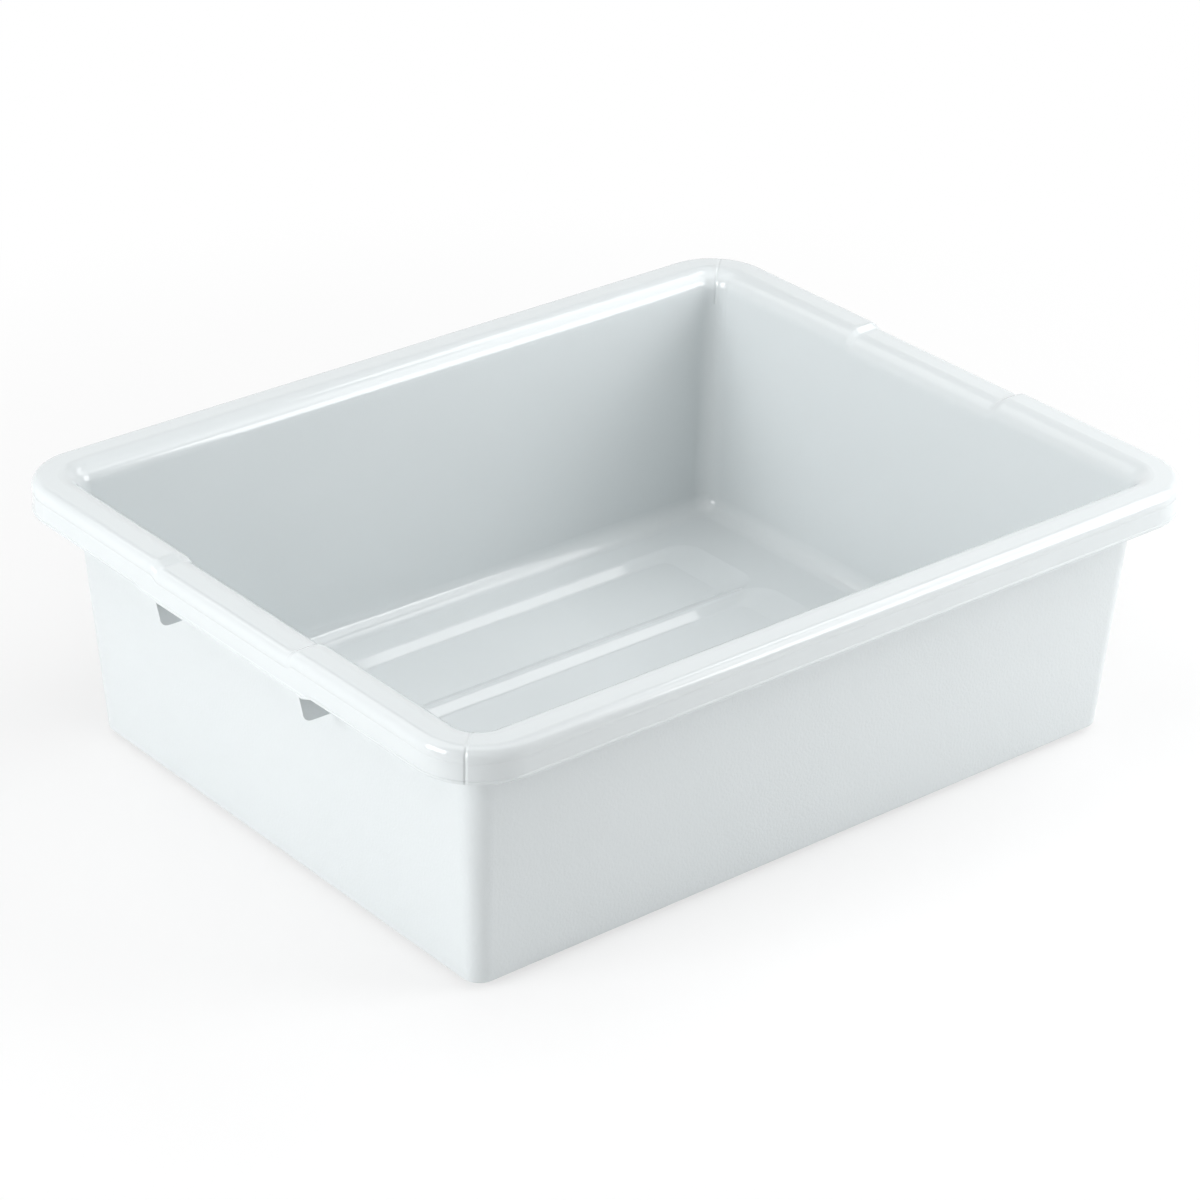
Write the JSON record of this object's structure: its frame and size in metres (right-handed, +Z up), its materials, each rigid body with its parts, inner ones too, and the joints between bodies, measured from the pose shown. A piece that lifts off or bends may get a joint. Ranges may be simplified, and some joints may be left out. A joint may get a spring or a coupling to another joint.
{
  "type": "bus tub",
  "caption": "Open rectangular bus tub: drafted walls, rolled hollow rim with a lowered grip and gussets at each end, floor with long recessed panels that stand as feet.",
  "frame": {"origin": "on the ground, under the middle of the tub", "axes": "+X along the long sides, +Y across, +Z up"},
  "size_m": [0.546, 0.434, 0.17],
  "materials": {
    "tub_plastic": "cool off-white moulded polyethylene, smooth and glossy inside and on the rim, fine pebble texture outside"
  },
  "bodies": {
    "root": {"tub": "tub_plastic"}
  },
  "joints": []
}
